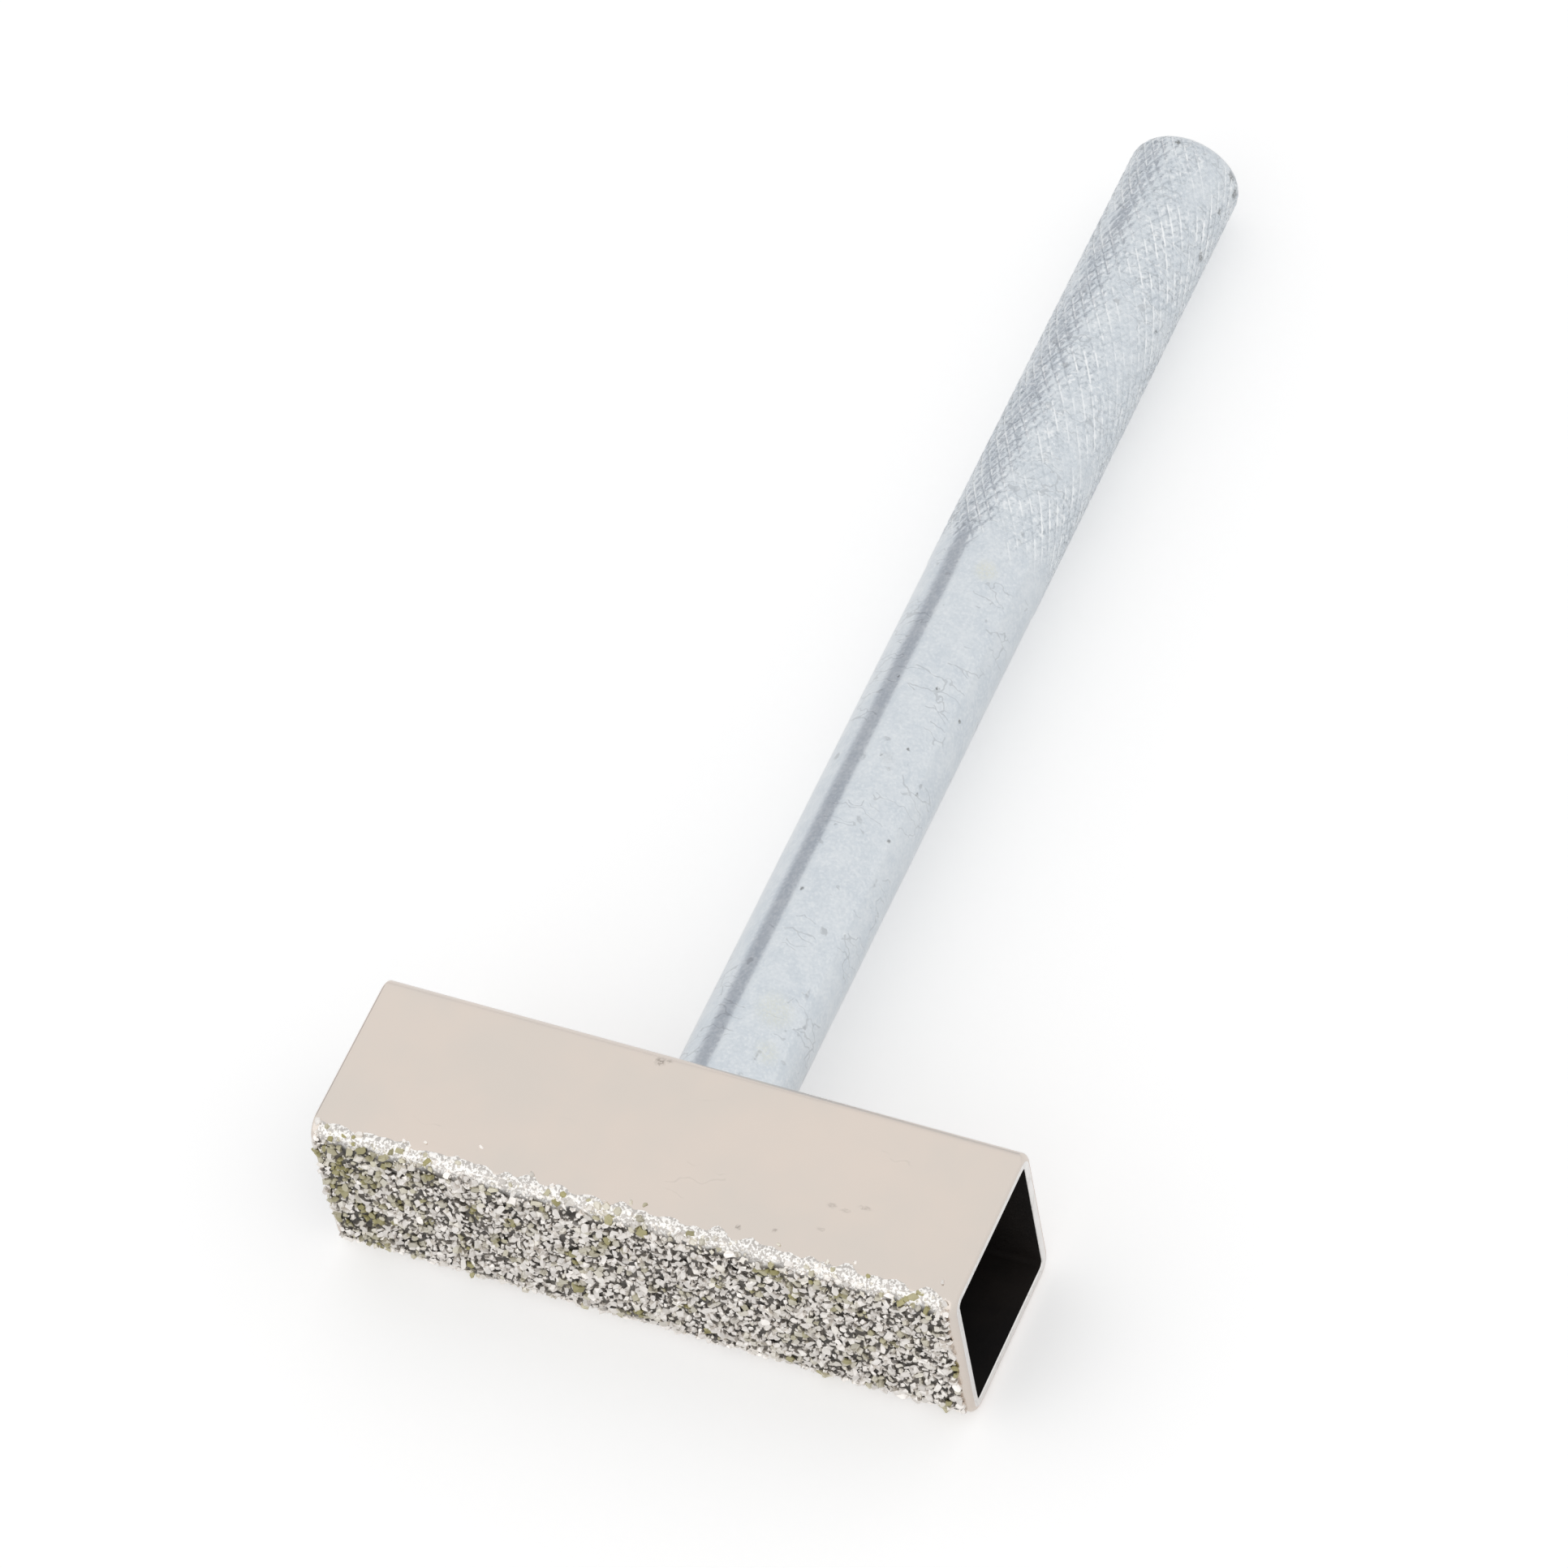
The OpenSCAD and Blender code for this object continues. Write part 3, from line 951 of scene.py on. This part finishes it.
studio = {
    "skyForDiffuse": 0.80,
    "dimTop": 0.805,     # angles up from the left between which the mirrored sky is dim, radians
    "dimFoot": 0.36,
    "dimEdge": 0.02,
    "dimDepth": 0.43,
    "dimTint": (0.99, 1.01, 1.12),
    "hazeTop": 0.45,     # height of the dim band at the back horizon
    "hazeDepth": 0.14,
    "dimStart": (0.05, 0.35),    # how far to the back a direction points where the band sets in and ends
    "dimEnd": (0.64, 0.82),
    "hazeStart": (0.6, 0.85),
    "floorSize": 6,
    "floorColour": (0.86, 0.86, 0.86, 1),
    "floorLift": 0.32,   # white added for the camera
    "mirrorLift": 0.235,  # white added for mirrors
    "boxFrom": (-0.20, -0.62, 0.37),
    "boxSize": (1.1, 0.55),
    "boxPower": 0.5,
}


def aim(thing, at, target):
    thing.location = at
    thing.rotation_euler = (Vector(target) - Vector(at)).to_track_quat("-Z", "Y").to_euler()


def makePlane(name, width, depth):
    bm = bmesh.new()
    bmesh.ops.create_grid(bm, x_segments=1, y_segments=1, size=0.5, matrix=Matrix.Diagonal((width, depth, 1, 1)))
    mesh = bpy.data.meshes.new(name)
    bm.to_mesh(mesh)
    bm.free()
    plane = bpy.data.objects.new(name, mesh)
    scene.collection.objects.link(plane)
    return plane


def directRays(tree, *kinds):
    path = addNode(tree, "LightPath")
    value = path.outputs[kinds[0]]
    for kind in kinds[1:]:
        value = doMath(tree, "MAXIMUM", value, path.outputs[kind])
    return value


# How dim the mirrored sky is, by direction
def dimSky(tree):
    split = addNode(tree, "SeparateXYZ")
    tree.links.new(addNode(tree, "TexCoord").outputs["Generated"], split.inputs[0])
    x, y, z = split.outputs
    sweep = doMath(tree, "ARCTAN2", z, doMath(tree, "MULTIPLY", x, -1))
    rise = remap(tree, sweep, 0, studio["dimFoot"], 0, 1)
    cut = remap(tree, sweep, studio["dimTop"], studio["dimTop"] + studio["dimEdge"], studio["dimDepth"], 0)
    behind = doMath(tree, "MULTIPLY", remap(tree, y, *studio["dimStart"], 0, 1),
                    remap(tree, y, *studio["dimEnd"], 1, 0))
    side = doMath(tree, "MULTIPLY", doMath(tree, "MULTIPLY", rise, cut), behind)
    low = remap(tree, z, 0, studio["hazeTop"], studio["hazeDepth"], 0)
    haze = doMath(tree, "MULTIPLY", low, remap(tree, y, *studio["hazeStart"], 0, 1))
    return doMath(tree, "SUBTRACT", 1, doMath(tree, "MAXIMUM", side, haze))


def makeSky():
    scene.world = bpy.data.worlds.new("studioSky")
    scene.world.use_nodes = True
    tree = scene.world.node_tree
    tree.nodes.clear()
    white = (1, 1, 1, 1)
    soft = setInputs(addNode(tree, "Background"), Color=white, Strength=studio["skyForDiffuse"])
    mirrored = addNode(tree, "Background")
    level = dimSky(tree)
    tree.links.new(level, mirrored.inputs["Strength"])
    tree.links.new(mixColour(tree, level, studio["dimTint"], (1, 1, 1)), mirrored.inputs["Color"])
    seen = setInputs(addNode(tree, "Background"), Color=white, Strength=1)
    mirrors, views = addNode(tree, "MixShader"), addNode(tree, "MixShader")
    tree.links.new(directRays(tree, "Is Glossy Ray", "Is Transmission Ray"), mirrors.inputs[0])
    tree.links.new(soft.outputs[0], mirrors.inputs[1])
    tree.links.new(mirrored.outputs[0], mirrors.inputs[2])
    tree.links.new(directRays(tree, "Is Camera Ray"), views.inputs[0])
    tree.links.new(mirrors.outputs[0], views.inputs[1])
    tree.links.new(seen.outputs[0], views.inputs[2])
    tree.links.new(views.outputs[0], addNode(tree, "OutputWorld").inputs["Surface"])


def makeFloor():
    floor = makePlane("floor", studio["floorSize"], studio["floorSize"])
    made = bpy.data.materials.new("paleFloor")
    made.use_nodes = True
    tree = made.node_tree
    tree.nodes.clear()
    matte = setInputs(addNode(tree, "BsdfDiffuse"), Color=studio["floorColour"])
    lift = addNode(tree, "Emission")
    seen = doMath(tree, "MULTIPLY", directRays(tree, "Is Camera Ray"), studio["floorLift"])
    bounced = directRays(tree, "Is Glossy Ray", "Is Transmission Ray")
    mirrored = doMath(tree, "MULTIPLY", bounced, studio["mirrorLift"])
    tree.links.new(doMath(tree, "MAXIMUM", seen, mirrored), lift.inputs["Strength"])
    both = addNode(tree, "AddShader")
    tree.links.new(matte.outputs[0], both.inputs[0])
    tree.links.new(lift.outputs[0], both.inputs[1])
    tree.links.new(both.outputs[0], addNode(tree, "OutputMaterial").inputs["Surface"])
    floor.data.materials.append(made)


def makeBox():
    box = bpy.data.lights.new("frontBox", "AREA")
    box.shape = "RECTANGLE"
    box.size, box.size_y = studio["boxSize"]
    box.energy = studio["boxPower"]
    lamp = bpy.data.objects.new("frontBox", box)
    scene.collection.objects.link(lamp)
    aim(lamp, studio["boxFrom"], (0, -0.02, 0.006))


makeSky()
makeFloor()
makeBox()

camera = {
    "at": (0.1970484, -0.31567371, 0.50561795),
    "turn": (0.62102039, 0.13840494, 0.39558356),
    "lens": 214.84,      # for a sensor 36 mm wide
}

eye = bpy.data.objects.new("photoCamera", bpy.data.cameras.new("photoCamera"))
eye.location = camera["at"]
eye.rotation_euler = camera["turn"]
eye.data.lens = camera["lens"]
eye.data.sensor_width = 36
scene.collection.objects.link(eye)
scene.camera = eye
print("studio and camera set")
